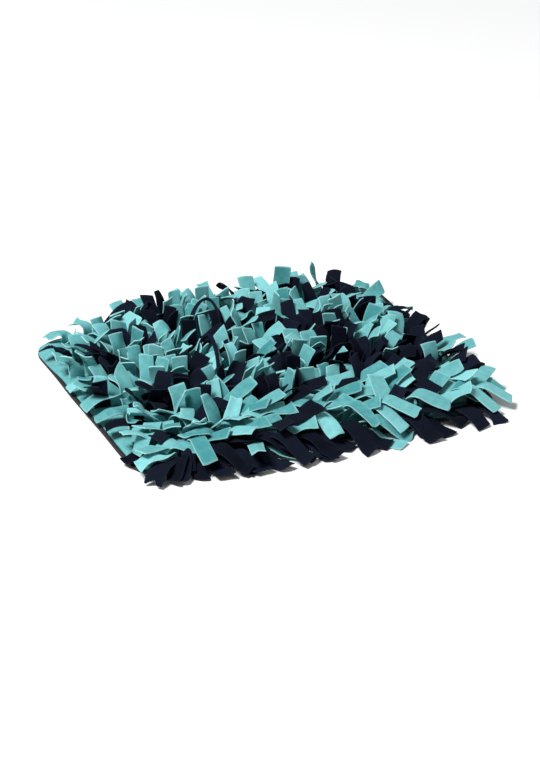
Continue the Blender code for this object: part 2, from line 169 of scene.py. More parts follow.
def round_corner(point, half_x, half_y, radius):
    """Carry a point near a square corner onto a round one."""
    across = abs(point.x) - (half_x - radius)
    along = abs(point.y) - (half_y - radius)
    if across > 0.0 and along > 0.0:
        scale = max(across, along) / math.hypot(across, along)
        point.x = math.copysign(half_x - radius + across * scale, point.x)
        point.y = math.copysign(half_y - radius + along * scale, point.y)


def cloth_slab(name, inset, columns, lines, top, bottom):
    """A flat sheet with round corners; top and bottom give where a point lies from its place in plan."""
    half_x = MAT_WIDTH / 2 - inset
    half_y = MAT_DEPTH / 2 - inset
    sheet = bmesh.new()
    bmesh.ops.create_grid(sheet, x_segments=columns, y_segments=lines, size=1.0)
    for vert in sheet.verts:
        vert.co = Vector((vert.co.x * half_x, vert.co.y * half_y, 0.0))
        round_corner(vert.co, half_x, half_y, CORNER_RADIUS - inset)
    below = bmesh.ops.extrude_face_region(sheet, geom=sheet.faces[:], use_keep_orig=True)["geom"]
    underside = {item for item in below if isinstance(item, bmesh.types.BMVert)}
    for vert in sheet.verts:
        vert.co = bottom(vert.co) if vert in underside else top(vert.co)
    bmesh.ops.recalc_face_normals(sheet, faces=sheet.faces[:])
    mesh = bpy.data.meshes.new(name)
    sheet.to_mesh(mesh)
    sheet.free()
    mesh.shade_smooth()
    made = bpy.data.objects.new(name, mesh)
    bpy.context.scene.collection.objects.link(made)
    return made


def new_finish(name, roughness, specular):
    """A material, its shader with what is the same all over set on it, and a thread to add nodes with."""
    made = bpy.data.materials.new(name)
    made.use_nodes = True
    shader = made.node_tree.nodes["Principled BSDF"]
    shader.inputs["Roughness"].default_value = roughness
    shader.inputs["Specular IOR Level"].default_value = specular
    return made, shader, Thread(made.node_tree)


def dress(shader, colour, height, strength, distance):
    """Give a finish its colour, and a fine relief from height."""
    bump = height.node("ShaderNodeBump", {}, {"Strength": strength, "Distance": distance, "Height": height})
    colour.into(shader, "Base Color")
    bump.into(shader, "Normal")


def backing_top(point):
    lift = noise.noise(Vector((point.x, point.y, 0.3)) * BACKING_WAVE_SCALE) * BACKING_WAVE
    return Vector((point.x, point.y, BACKING_THICKNESS - BACKING_WAVE + lift))


backing_cloth = cloth_slab("backing_cloth", BACKING_TUCK, BACKING_COLUMNS, BACKING_LINES,
                           backing_top, lambda point: Vector((point.x, point.y, 0.0)))
woven_black, woven_shader, wire = new_finish("woven_black_cloth", 0.82, 0.25)
cloth_place = wire.node("ShaderNodeTexCoord", {}, {}, output=3)
cloth_x = wire.node("ShaderNodeSeparateXYZ", {}, {0: cloth_place}, output=0)
cloth_y = wire.node("ShaderNodeSeparateXYZ", {}, {0: cloth_place}, output=1)
warp = wire.math("SINE", cloth_x * (math.pi / CLOTH_THREAD))
weft = wire.math("SINE", cloth_y * (math.pi / CLOTH_THREAD))
weave = warp * weft * 0.5 + 0.5
worn = wire.node("ShaderNodeTexNoise", {}, {"Vector": cloth_place, "Scale": 22.0, "Detail": 4.0})
cloth_colour = (weave * 0.6 + worn * 0.4).mixed((0.007, 0.007, 0.008, 1.0), (0.026, 0.026, 0.029, 1.0))
dress(woven_shader, cloth_colour, weave, strength=0.5, distance=0.0003)
backing_cloth.data.materials.append(woven_black)
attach(backing_cloth, "root")
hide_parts("backing")


# Binding: a black ribbed tape, folded over the mat's edge and sewn down all round near its inner side.
# It waves a little where the stitches draw it in.
GAP = 0.0003
BINDING_WIDTH = 0.0080
BINDING_HEIGHT = 0.0046
BINDING_WAVE = 0.0010
BINDING_WAVE_SCALE = 3.4
BINDING_WAVE_SEED = 2.0
BINDING_SWELL = 0.10
BINDING_SWELL_SEED = 7.0
NOISE_GAIN = 1.6
BINDING_POINTS = 420
TAPE_RIB = 0.0013
STITCH_PITCH = 0.0046
STITCH_LENGTH = 0.0031
STITCH_RADIUS = 0.00036
STITCH_SIDES = 6
STITCH_INSET = 0.42
STITCH_SEAT = 1.72

# A stitch's rings: how far along it each is, its girth, and how far it is raised.
STITCH_RINGS = ((0.0, 0.35, 0.0), (0.12, 0.9, 0.6), (0.5, 1.0, 1.0), (0.88, 0.9, 0.6), (1.0, 0.35, 0.0))


def edge_point(travel, inset):
    """A point on the mat's outline moved in by inset, and the way out there; travel runs from 0 to 1."""
    half_x = MAT_WIDTH / 2 - CORNER_RADIUS
    half_y = MAT_DEPTH / 2 - CORNER_RADIUS
    bend = CORNER_RADIUS * math.pi / 2
    centres = ((half_x, -half_y), (half_x, half_y), (-half_x, half_y), (-half_x, -half_y))
    spans = []
    for quarter, side in enumerate((half_y * 2, half_x * 2) * 2):
        spans.append(("side", side, centres[quarter], 90.0 * quarter))
        spans.append(("corner", bend, centres[(quarter + 1) % 4], 90.0 * quarter))
    left = (travel % 1.0) * sum(span[1] for span in spans)
    for kind, length, start, angle in spans:
        if left <= length:
            break
        left -= length
    turn = math.radians(angle + (90.0 * left / bend if kind == "corner" else 0.0))
    out = Vector((math.cos(turn), math.sin(turn), 0.0))
    centre = Vector((start[0], start[1], 0.0))
    if kind == "side":
        centre += Vector((-out.y, out.x, 0.0)) * left
    return centre + out * (CORNER_RADIUS - inset), out


def tape_wave(travel, seed):
    """A slow unevenness round the edge, from -1 to 1, that meets itself where the tape's ends do."""
    angle = travel * 2 * math.pi
    place = Vector((math.cos(angle) * BINDING_WAVE_SCALE, math.sin(angle) * BINDING_WAVE_SCALE, seed))
    return NOISE_GAIN * noise.noise(place)


def between(low, high, size):
    """The faces between two rings of points, from the numbers that the rings start at."""
    for corner in range(size):
        after = (corner + 1) % size
        yield low + corner, low + after, high + after, high + corner


def mesh_object(name, points, faces, finish):
    mesh = bpy.data.meshes.new(name)
    mesh.from_pydata([tuple(point) for point in points], [], faces)
    mesh.shade_smooth()
    mesh.materials.append(finish)
    made = bpy.data.objects.new(name, mesh)
    bpy.context.scene.collection.objects.link(made)
    return made


def stitches(name, runs, finish):
    """Short rounded stitches, each from one point to another with its middle raised."""
    points, faces = [], []
    for start, end, rise in runs:
        along = (end - start).normalized()
        side = Vector((0.0, 0.0, 1.0)).cross(along).normalized()
        up = along.cross(side)
        first = len(points)
        for part, girth, lift in STITCH_RINGS:
            centre = start.lerp(end, part) + up * (rise * lift)
            for corner in range(STITCH_SIDES):
                angle = 2 * math.pi * corner / STITCH_SIDES
                reach = (side * math.cos(angle) + up * math.sin(angle)) * STITCH_RADIUS * girth
                points.append(centre + reach)
        last = first + (len(STITCH_RINGS) - 1) * STITCH_SIDES
        for low in range(first, last, STITCH_SIDES):
            faces += between(low, low + STITCH_SIDES, STITCH_SIDES)
        faces.append(tuple(first + corner for corner in reversed(range(STITCH_SIDES))))
        faces.append(tuple(last + corner for corner in range(STITCH_SIDES)))
    return mesh_object(name, points, faces, finish)


half_tape = BINDING_WIDTH / 2
half_rise = BINDING_HEIGHT / 2
# The tape's section from its top inner side outwards and round under: out from the middle, and up.
TAPE_SECTION = (
    (-1.00, 0.30), (-0.92, 0.66), (-0.74, 0.86), (-0.58, 0.80), (-0.42, 0.72), (-0.28, 0.84), (0.05, 1.00),
    (0.45, 0.96), (0.78, 0.74), (0.95, 0.38), (1.00, 0.00), (0.95, -0.42), (0.78, -0.80), (0.50, -1.00),
    (-0.50, -1.00), (-0.90, -1.00), (-1.00, -0.60),
)
tape_points, tape_faces, tape_travel = [], [], []
for place in range(BINDING_POINTS):
    travel = place / BINDING_POINTS
    centre, out = edge_point(travel, half_tape + BINDING_WAVE)
    centre += out * BINDING_WAVE * tape_wave(travel, BINDING_WAVE_SEED)
    for across, rise in TAPE_SECTION:
        swell = 1.0 + BINDING_SWELL * tape_wave(travel, BINDING_SWELL_SEED) * max(rise, 0.0)
        height = Vector((0.0, 0.0, half_rise * (1.0 + rise * swell)))
        tape_points.append(centre + out * half_tape * across + height)
        tape_travel.append(travel)
section_size = len(TAPE_SECTION)
for place in range(BINDING_POINTS):
    tape_faces += between(place * section_size, (place + 1) % BINDING_POINTS * section_size, section_size)
ribbed_tape, tape_shader, wire = new_finish("ribbed_black_tape", 0.62, 0.4)
binding_tape = mesh_object("binding_tape", tape_points, tape_faces, ribbed_tape)
rib_turns = binding_tape.data.attributes.new("rib_turns", "FLOAT", "POINT")
edge_length = 2 * (MAT_WIDTH + MAT_DEPTH) - (8 - 2 * math.pi) * CORNER_RADIUS
rib_turns.data.foreach_set("value", [travel * edge_length for travel in tape_travel])
rib_place = wire.node("ShaderNodeAttribute", {"attribute_name": "rib_turns"}, {}, output=2)
ribs = wire.math("SINE", rib_place * (2 * math.pi / TAPE_RIB)) * 0.5 + 0.5
tape_noise = wire.node("ShaderNodeTexNoise", {}, {"Scale": 900.0, "Detail": 3.0})
rib_shade = ribs * 0.65 + tape_noise * 0.35
tape_colour = rib_shade.mixed((0.003, 0.003, 0.004, 1.0), (0.018, 0.017, 0.017, 1.0))
dress(tape_shader, tape_colour, ribs, strength=0.6, distance=0.0003)
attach(binding_tape, "root")
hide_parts("binding")

# Binding stitches: black thread that holds the tape down. They lie in its groove, one after another.
black_thread, thread_shader, wire = new_finish("black_thread", 0.45, 0.5)
twist = wire.node("ShaderNodeTexNoise", {}, {"Scale": 1800.0, "Detail": 2.0})
thread_colour = twist.mixed((0.012, 0.012, 0.014, 1.0), (0.075, 0.075, 0.082, 1.0))
dress(thread_shader, thread_colour, twist, strength=0.4, distance=0.0001)
stitch_runs = []
stitch_count = round(edge_length / STITCH_PITCH)
for index in range(stitch_count):
    ends = []
    for travel in (index / stitch_count, (index + STITCH_LENGTH / STITCH_PITCH) / stitch_count):
        centre, out = edge_point(travel, half_tape + BINDING_WAVE)
        centre += out * (BINDING_WAVE * tape_wave(travel, BINDING_WAVE_SEED) - half_tape * STITCH_INSET)
        ends.append(centre + Vector((0.0, 0.0, half_rise * STITCH_SEAT)))
    stitch_runs.append((ends[0], ends[1], STITCH_RADIUS))
binding_stitches = stitches("binding_stitches", stitch_runs, black_thread)
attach(binding_stitches, "root")


# Fleece ground: the mint sheet that the strips are sewn to. It is bare along the left side, puffs up a
# little beside the binding, and swells out over it at the back left corner.
FLEECE = 0.0017
GROUND_TUCK = 0.0062
GROUND_COLUMNS = 110
GROUND_LINES = 92
GROUND_BOTTOM = BACKING_THICKNESS + GAP
GROUND_WAVE = 0.0004
GROUND_WAVE_SCALE = 30.0
GROUND_RIPPLE = 0.00018
GROUND_RIPPLE_SCALE = 95.0
GROUND_DIP = 0.0003
GROUND_TONE = 0.06
TONE_DOWN = 0.13
MARGIN_SIDE = -0.205
MARGIN_EASE = 0.016
MARGIN_PUFF = 0.0024
MARGIN_REACH = 0.030
MARGIN_EVEN = 0.75
MARGIN_UNEVEN = 0.5
LOBE_OUT = 0.0035
LOBE_UP = 0.0046
LOBE_RIM_UP = 0.0004
LOBE_REACH = 0.034
LOBE_ROUND = 0.93
LOBE_UNEVEN = (0.25, 0.2)
# Where the lobe starts at its right, at its front and at its back, and over how far it grows from there.
LOBE_RIGHT = (-0.170, 0.050)
LOBE_FRONT = (0.075, 0.075)
LOBE_BACK = (0.214, 0.024)


def smooth(value):
    """An even change from 0 to 1 that starts and ends gently."""
    value = min(max(value, 0.0), 1.0)
    return value * value * (3.0 - 2.0 * value)


def outside(x, y):
    """How far a point lies outside the mat's outline; below zero inside it."""
    across = abs(x) - (MAT_WIDTH / 2 - CORNER_RADIUS)
    along = abs(y) - (MAT_DEPTH / 2 - CORNER_RADIUS)
    reach = math.hypot(max(across, 0.0), max(along, 0.0))
    return reach + min(max(across, along), 0.0) - CORNER_RADIUS


def lobe_share(x, y):
    """How far the ground swells out over the binding: fully near the back left corner, not elsewhere."""
    left = smooth((LOBE_RIGHT[0] - x) / LOBE_RIGHT[1])
    behind = smooth((y - LOBE_FRONT[0]) / LOBE_FRONT[1])
    return left * behind * smooth((LOBE_BACK[0] - y) / LOBE_BACK[1])


def ground_place(point, face):
    """Where a point of the sheet lies: face is 1 on top and 0 underneath."""
    inside = -outside(point.x, point.y)
    share = lobe_share(point.x, point.y)
    slow = noise.noise(Vector((point.x, point.y, 0.0)) * GROUND_WAVE_SCALE)
    quick = noise.noise(Vector((point.x, point.y, 3.0)) * GROUND_RIPPLE_SCALE)
    margin = smooth((MARGIN_SIDE - point.x) / MARGIN_EASE)
    hump = math.sin(math.pi * min(max((inside - GROUND_TUCK) / MARGIN_REACH, 0.0), 1.0))
    lift = GROUND_WAVE * slow + GROUND_RIPPLE * quick
    lift += margin * hump * MARGIN_PUFF * (MARGIN_EVEN + MARGIN_UNEVEN * slow)
    near = smooth(1.0 - (inside - GROUND_TUCK) / LOBE_REACH)
    push = LOBE_OUT * share * near * near * (1.0 + LOBE_UNEVEN[0] * slow)
    lift += LOBE_UP * share * math.sin(math.pi * near * LOBE_ROUND) * (1.0 + LOBE_UNEVEN[1] * quick)
    lift += share * near * near * LOBE_RIM_UP
    centre = Vector((math.copysign(MAT_WIDTH / 2 - CORNER_RADIUS, point.x),
                     math.copysign(MAT_DEPTH / 2 - CORNER_RADIUS, point.y), 0.0))
    out = Vector((min(point.x - centre.x, 0.0), max(point.y - centre.y, 0.0), 0.0))
    out = out.normalized() if out.length > 0.0 else Vector((-1.0, 0.0, 0.0))
    moved = Vector((point.x, point.y, 0.0)) + out * push
    moved.z = GROUND_BOTTOM + FLEECE * face + max(lift, 0.0 if face == 0.0 else -GROUND_DIP)
    return moved


def fleece(name, deep, fair, cut, sheen):
    """A matt napped knit, mottled, a little different on each strip, and painted paler along its cut edges
    as a highlight.
    """
    made, shader, wire = new_finish(name, 0.96, 0.08)
    shader.inputs["Sheen Weight"].default_value = sheen
    shader.inputs["Sheen Roughness"].default_value = 0.55
    shader.inputs["Sheen Tint"].default_value = cut
    place = wire.node("ShaderNodeTexCoord", {}, {}, output=3)
    cloud = wire.node("ShaderNodeTexNoise", {}, {"Vector": place, "Scale": 130.0, "Detail": 3.0})
    nap = wire.node("ShaderNodeTexNoise", {}, {
        "Vector": place, "Scale": 900.0, "Detail": 3.0, "Roughness": 0.65})
    pile = wire.node("ShaderNodeTexNoise", {}, {"Vector": place, "Scale": 330.0, "Detail": 2.0})
    tone = wire.node("ShaderNodeAttribute", {"attribute_name": "tone"}, {}, output=2)
    edge = wire.node("ShaderNodeAttribute", {"attribute_name": "cut"}, {}, output=2)
    shade = wire.math("ADD", cloud * 0.60 + nap * 0.45, tone - TONE_DOWN, clamp=True)
    body = shade.mixed(deep, fair)
    # Painted highlight: where the cut layer marks a cut edge, the colour is painted paler, broken up by the
    # nap.
    cut_edge_highlight = wire.math("MULTIPLY", edge * 0.85, nap * 0.9 + 0.45, clamp=True)
    colour = cut_edge_highlight.mixed(body, cut)
    dress(shader, colour, nap * 0.45 + pile * 0.55, strength=0.55, distance=0.0006)
    return made


# The third colour of each is the painted highlight along the cut edges; it also tints the sheen.
mint_fleece = fleece("mint_fleece_cloth", (0.050, 0.235, 0.246, 1.0), (0.215, 0.540, 0.555, 1.0),
                     (0.400, 0.730, 0.730, 1.0), 0.06)
navy_fleece = fleece("navy_fleece_cloth", (0.0022, 0.0036, 0.0085, 1.0), (0.0062, 0.0092, 0.0205, 1.0),
                     (0.0120, 0.0165, 0.0320, 1.0), 0.015)
ground_fleece = cloth_slab("ground_fleece", GROUND_TUCK, GROUND_COLUMNS, GROUND_LINES,
                           lambda point: ground_place(point, 1.0), lambda point: ground_place(point, 0.0))
ground_fleece.data.materials.append(mint_fleece)
ground_tone = ground_fleece.data.attributes.new("tone", "FLOAT", "POINT")
ground_tone.data.foreach_set("value", [GROUND_TONE] * len(ground_fleece.data.vertices))
# The ground gets no painted edge highlight: its cut layer stays at zero.
ground_fleece.data.attributes.new("cut", "FLOAT", "POINT")
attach(ground_fleece, "root")
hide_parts("fleece_ground")


# Layout of the strips: nine seams run across the mat, with pieces of fleece folded over each. Each piece
# gives a pair of strips, one to the front and one to the back, led so that none crosses another.
BAND_WIDTH = 0.0080
BAND_THICKNESS = 0.0016
BAND_LEFT = -0.222
BAND_RIGHT = 0.234
PAIRS_IN_ROW = 16
STRIP_WIDTH = 0.0225
NARROWEST = 0.84
WIDEST = 1.08
SIDE_ROOM = 0.001
SLANT = 0.0025
WIDTH_SEED = 76
# Where a run of the strips' seeds starts, and its step from row to row and from pair to pair.
SEWN_SEEDS = (0, 1000, 10)
GROUND_TOP = BACKING_THICKNESS + GAP + FLEECE + GROUND_WAVE
BAND_BOTTOM = GROUND_TOP + GAP
BAND_TOP = BAND_BOTTOM + BAND_THICKNESS
FINE_STEPS = 12
TURN_SHARE = 0.5
FEWEST_SEGMENTS = 3
MOST_SEGMENTS = 4
BENT = 50.0
CLEARANCE = 0.0002
NEAR = 0.18
TRIES = 300
FIRST_TRIES = 100
ROOT_SPREAD = 8.0
TURN_SPREAD = 25.0
LATER_ROOT = (-10.0, 30.0)
LATER_TIP = (-10.0, 70.0)
LATER_HEADING_SPREAD = 40.0
LATER_LENGTH = (0.58, 0.86)

# How far the pile may reach, and how far the strips that are set one by one may. The pile's front limit runs
# askew, FRONT_SKEW further forward for each metre to the right.
PILE_HEIGHT = 0.056
SET_HEIGHT = 0.066
SET_LEFT = -0.278
SET_RIGHT = 0.287
PILE_LEFT = -0.265
PILE_RIGHT = 0.274
PILE_FRONT = -0.270
FRONT_SKEW = 0.050
PILE_BACK = 0.246

# How low a strip may lie, and how the strips near the mat's left and right edges turn outwards and droop.
REST_ON_MAT = BAND_TOP + GAP
REST_ON_FLOOR = 0.0003
RAMP_START = 0.004
RAMP_END = 0.020
EDGE_TURN = 0.070
RIGHT_MARGIN = 0.030
LEFT_MARGIN = 0.040
RIGHT_HEADING = -14.0
LEFT_HEADING = -168.0
EDGE_SHARE = 0.72
LEFT_DROOP = 26.0
RIGHT_DROOP = 6.0
ROOT_DROOP = 16.0
LEFT_SHORTER = 0.18
EVEN_BEND = (0.5, 1.5)

# Where the pile stands lower: its place, how far that reaches, and by how much. They are the back corners,
# the back edge, the left edge and the back half of the right edge.
LOW_PLACES = (
    (-0.255, 0.215, 0.150, 0.038), (0.250, 0.220, 0.170, 0.031), (0.290, 0.110, 0.115, 0.044),
    (-0.060, 0.260, 0.100, 0.008), (0.110, 0.260, 0.100, 0.010), (-0.280, 0.020, 0.110, 0.018),
    (-0.140, 0.245, 0.085, 0.016),
)

# A line's lift is its strips' angle above the level, in degrees, at the root and at the tip. Its heading is
# the way they lean in plan, and its roll is how far they twist. The bend's place and length are shares of a
# strip's length, and the spreads vary all this. A row's navy is its share of navy strips, y is its seam's
# place, and wide is the width of its strips for each STRIP_WIDTH.
Line = namedtuple("Line", (
    "root_lift tip_lift tip_spread heading heading_spread roll roll_spread bend_place bend_length "
    "shortest longest"))
Row = namedtuple("Row", "navy y wide front back")
Pose = namedtuple("Pose", "root root_lift tip_lift bend heading turn roll length width slant segments rest")
Set = namedtuple("Set", "row pair line root_lift tip_lift heading turn roll length colour")

SKIRT_FRONT = Line(18, -44, 6, -60, 8, 13, 4, (0.30, 0.44), (0.45, 0.8), 0.072, 0.092)
SKIRT_BACK = Line(38, -40, 8, -57, 9, 15, 5, (0.30, 0.42), (0.40, 0.7), 0.078, 0.096)
SHINGLE_FRONT = Line(74, -38, 8, -56, 12, 12, 7, (0.34, 0.44), (0.30, 0.5), 0.072, 0.086)
SHINGLE_BACK = Line(82, -30, 12, -60, 18, 10, 11, (0.36, 0.46), (0.30, 0.5), 0.072, 0.086)
LOOSE_FRONT = Line(80, 46, 28, -84, 46, 0, 22, (0.40, 0.75), (0.5, 1.4), 0.046, 0.064)
LOOSE_BACK = Line(84, 54, 26, 84, 50, 0, 22, (0.40, 0.75), (0.5, 1.4), 0.044, 0.062)
LAST_BACK = Line(78, 40, 22, 90, 34, 0, 16, (0.40, 0.75), (0.4, 1.4), 0.044, 0.060)

ROWS = (
    Row(0.88, -0.196, 1.10, SKIRT_FRONT, SKIRT_BACK),
    Row(0.14, -0.150, 1.06, SHINGLE_FRONT, SHINGLE_BACK),
    Row(0.34, -0.102, 1.04, SHINGLE_FRONT, LOOSE_BACK),
    Row(0.62, -0.054, 1.0, LOOSE_FRONT, LOOSE_BACK),
    Row(0.36, -0.006, 1.0, LOOSE_FRONT, LOOSE_BACK),
    Row(0.42, 0.042, 1.0, LOOSE_FRONT, LOOSE_BACK),
    Row(0.44, 0.090, 1.0, LOOSE_FRONT, LOOSE_BACK),
    Row(0.42, 0.138, 1.0, LOOSE_FRONT, LOOSE_BACK),
    Row(0.44, 0.186, 1.0, LOOSE_FRONT, LAST_BACK),
)

# Strips that are set one by one: the bursts at the left and right ends, the long ones along the front, and
# the tall ones in the middle and behind. Each gives the values of a Set in their order.
SET_STRIPS = (
    (1, 0, "front", 48, -52, -138, 0, 0, 0.062, "navy"),
    (1, 0, "back", 60, -40, -164, 0, 0, 0.058, "mint"),
    (1, 1, "back", 54, -30, -30, 0, 0, 0.060, "navy"),
    (1, 14, "back", 34, -36, -76, 0, 0, 0.066, "navy"),
    (1, 15, "front", 18, -30, -74, 0, 0, 0.052, "navy"),
    (2, 0, "front", 18, -26, -146, -26, 0, 0.058, "navy"),
    (2, 0, "back", 70, -10, 168, 0, 20, 0.056, "mint"),
    (2, 1, "front", 66, -30, -143, 0, 0, 0.058, "mint"),
    (2, 1, "back", 74, -18, -12, 0, -6, 0.044, "mint"),
    (2, 3, "back", 88, 50, 96, 24, 0, 0.058, "mint"),
    (2, 4, "front", 76, -46, -96, 0, 0, 0.056, "mint"),
    (2, 14, "front", 50, -34, -52, 0, 0, 0.064, "mint"),
    (2, 15, "back", 58, -40, -42, 0, 0, 0.070, "mint"),
    (3, 0, "back", 62, -32, 174, 0, 0, 0.056, "navy"),
    (3, 1, "back", 66, -4, 168, 0, 10, 0.054, "mint"),
    (3, 2, "front", 64, 4, 176, 0, 30, 0.052, "mint"),
    (3, 5, "front", 58, -44, -82, 0, 0, 0.082, "mint"),
    (3, 7, "front", 66, -44, -82, 0, 0, 0.070, "navy"),
    (3, 15, "front", 54, -16, -34, 0, 0, 0.060, "navy"),
    (4, 0, "front", 54, -40, 176, 0, 0, 0.056, "mint"),
    (4, 3, "back", 66, -30, 172, 0, 30, 0.074, "navy"),
    (4, 8, "front", 88, 78, -112, 0, 0, 0.052, "navy"),
    (4, 9, "front", 86, 74, -70, 0, 0, 0.050, "navy"),
    (4, 10, "back", 66, 44, 12, 0, -20, 0.046, "mint"),
    (4, 15, "back", 52, -4, 2, 0, 0, 0.062, "mint"),
    (5, 0, "front", 60, -46, -170, 0, 0, 0.062, "mint"),
    (5, 2, "front", 88, 74, -136, 0, 0, 0.048, "mint"),
    (5, 3, "front", 88, 80, 78, 0, 0, 0.050, "mint"),
    (5, 10, "front", 88, 84, -110, 0, 0, 0.046, "mint"),
    (5, 11, "front", 88, 84, 67, 0, 0, 0.052, "navy"),
    (6, 0, "front", 58, -42, 176, 0, 0, 0.060, "mint"),
    (7, 2, "front", 86, 76, 30, 0, 0, 0.054, "mint"),
    (7, 14, "front", 88, 80, 60, 0, 0, 0.040, "navy"),
    (8, 2, "front", 88, 72, 84, 0, 6, 0.044, "mint"),
    (8, 15, "back", 62, 22, 6, 0, 66, 0.034, "mint"),
    (9, 2, "back", 82, -12, 16, 0, 34, 0.066, "navy"),
    (9, 5, "front", 88, 84, -60, 0, 0, 0.044, "mint"),
    (9, 5, "back", 88, 62, 140, 0, 0, 0.052, "navy"),
    (9, 7, "back", 88, 84, 100, 0, 0, 0.048, "mint"),
    (9, 8, "front", 88, 84, -90, 0, 0, 0.042, "mint"),
    (9, 9, "back", 90, 20, 146, 0, 34, 0.054, "navy"),
    (9, 11, "back", 89, 76, 24, 0, 34, 0.057, "mint"),
    (9, 13, "back", 88, 72, 157, 0, 0, 0.056, "mint"),
)


def ceiling(x, y):
    """How high the pile may stand at a place."""
    fall = sum(depth * smooth(1.0 - math.hypot(x - spot_x, y - spot_y) / reach)
               for spot_x, spot_y, reach, depth in LOW_PLACES)
    return PILE_HEIGHT - fall


def inside_pile(rings, by_hand=False):
    """Whether a strip stays within the pile's reach. One that is listed may go a little further."""
    left, right = (SET_LEFT, SET_RIGHT) if by_hand else (PILE_LEFT, PILE_RIGHT)
    for ring in rings:
        for corner in ring.values():
            front = PILE_FRONT - FRONT_SKEW * corner.x
            if not left < corner.x < right or not front < corner.y < PILE_BACK:
                return False
            if corner.z > (SET_HEIGHT if by_hand else ceiling(corner.x, corner.y)):
                return False
    return True


def turn_between(first, second):
    """The signed turn in degrees from one heading to another, the short way round."""
    return (second - first + 180.0) % 360.0 - 180.0


def rest_height(x, y):
    """The lowest that a strip may lie: on the rows, down a ramp over the bound edge, or on the floor."""
    down = (outside(x, y) - RAMP_START) / (RAMP_END - RAMP_START)
    return REST_ON_MAT + (REST_ON_FLOOR - REST_ON_MAT) * min(max(down, 0.0), 1.0)


# A ring's corners: the side that each is on, and the face.
CORNERS = ((-1, -1), (-1, 1), (1, -1), (1, 1))


def strip_rings(pose, grow):
    """The strip's cross-sections from root to tip, each as four corners keyed by side and face."""
    point = pose.root.copy()
    half_w = pose.width / 2 + grow
    half_t = FLEECE / 2 + grow
    across_turn = turn_between(0.0, pose.heading + 90.0)
    if abs(across_turn) > 90.0:
        across_turn -= math.copysign(180.0, across_turn)
    rings = [{(side, face): point + Vector((side * half_w, face * half_t, 0.0)) for side, face in CORNERS}]
    for step in range(1, FINE_STEPS + 1):
        part = step / FINE_STEPS
        bent = smooth((part - pose.bend[0]) / pose.bend[1] + 0.5)
        lift = math.radians(pose.root_lift + (pose.tip_lift - pose.root_lift) * bent)
        heading = math.radians(pose.heading + pose.turn * part)
        level = math.cos(lift)
        along = Vector((level * math.cos(heading), level * math.sin(heading), math.sin(lift)))
        side_way = math.radians(across_turn * smooth(part / TURN_SHARE) + pose.turn * part)
        across = Vector((math.cos(side_way), math.sin(side_way), 0.0))
        across = (across - along * across.dot(along)).normalized()
        across.rotate(Matrix.Rotation(math.radians(pose.roll * part), 3, along))
        outward = along.cross(across)
        point = point + along * (pose.length / FINE_STEPS)
        droop = abs(across.z) * half_w + abs(outward.z) * half_t + abs(along.z * pose.slant)
        point.z = max(point.z, rest_height(point.x, point.y) + pose.rest + droop)
        if step % (FINE_STEPS // pose.segments) == 0:
            slant = along * (pose.slant if step == FINE_STEPS else 0.0)
            rings.append({
                (side, face): point + (across * half_w + slant) * side + outward * half_t * face
                for side, face in CORNERS
            })
    return rings


def strip_tree(rings):
    """A search tree of the strip's faces, to find where two strips would cross."""
    points = [ring[key] for ring in rings for key in ((-1, -1), (1, -1), (1, 1), (-1, 1))]
    faces = [(0, 1, 2, 3)]
    for low in range(0, len(points) - 4, 4):
        high = low + 4
        faces += [(low, low + 1, high + 1), (low, high + 1, high)]
        faces += [(low + 3, high + 2, low + 2), (low + 3, high + 3, high + 2)]
        faces += [(low + 1, low + 2, high + 2, high + 1), (low, high, high + 3, low + 3)]
    faces.append(tuple(range(len(points) - 4, len(points))))
    return BVHTree.FromPolygons(points, faces)


def pose_strip(line, root, width, chance):
    """One strip's pose: its line's own lean, turned outwards near the left and right edges, and varied."""
    near_right = smooth(1.0 - (MAT_WIDTH / 2 - root.x - RIGHT_MARGIN) / EDGE_TURN)
    near_left = smooth(1.0 - (MAT_WIDTH / 2 + root.x - LEFT_MARGIN) / EDGE_TURN)
    heading = line.heading + chance.gauss(0.0, line.heading_spread)
    heading += turn_between(heading, RIGHT_HEADING) * near_right * EDGE_SHARE
    heading += turn_between(heading, LEFT_HEADING) * near_left * EDGE_SHARE
    root_lift = line.root_lift + chance.uniform(-ROOT_SPREAD, ROOT_SPREAD)
    root_lift -= ROOT_DROOP * max(near_right, near_left)
    tip_lift = line.tip_lift + chance.gauss(0.0, line.tip_spread)
    tip_lift -= LEFT_DROOP * near_left + RIGHT_DROOP * near_right
    length = chance.uniform(line.shortest, line.longest) * (1.0 - LEFT_SHORTER * near_left)
    bend = (chance.uniform(*line.bend_place), chance.uniform(*line.bend_length))
    turn = chance.uniform(-TURN_SPREAD, TURN_SPREAD)
    roll = line.roll + chance.gauss(0.0, line.roll_spread)
    slant = chance.uniform(-SLANT, SLANT)
    segments = MOST_SEGMENTS if root_lift - tip_lift > BENT else FEWEST_SEGMENTS
    return Pose(root, root_lift, tip_lift, bend, heading, turn, roll, length, width, slant, segments, 0.0)


def strip_seed(key, start, row_step, pair_step):
    """A seed of its own for each strip, so that one strip's changes leave the others as they are."""
    number, pair, line = key
    return start + number * row_step + round(pair * pair_step) + (line == "back")


def row_pairs(number):
    """The places and widths of a row's folded strips, each sewn down across its middle."""
    chance = random.Random(WIDTH_SEED + number)
    pitch = (BAND_RIGHT - BAND_LEFT) / PAIRS_IN_ROW
    for index in range(PAIRS_IN_ROW):
        width = STRIP_WIDTH * ROWS[number - 1].wide * chance.uniform(NARROWEST, WIDEST)
        spare = (pitch - width) / 2 - SIDE_ROOM
        yield BAND_LEFT + pitch * (index + 0.5) + chance.uniform(-spare, spare), width


def set_pose(item, root, width):
    """The pose of a strip that is listed one by one."""
    return Pose(root, item.root_lift, item.tip_lift, EVEN_BEND, item.heading, item.turn, item.roll,
                item.length, width, slant=0.0, segments=MOST_SEGMENTS, rest=0.0)


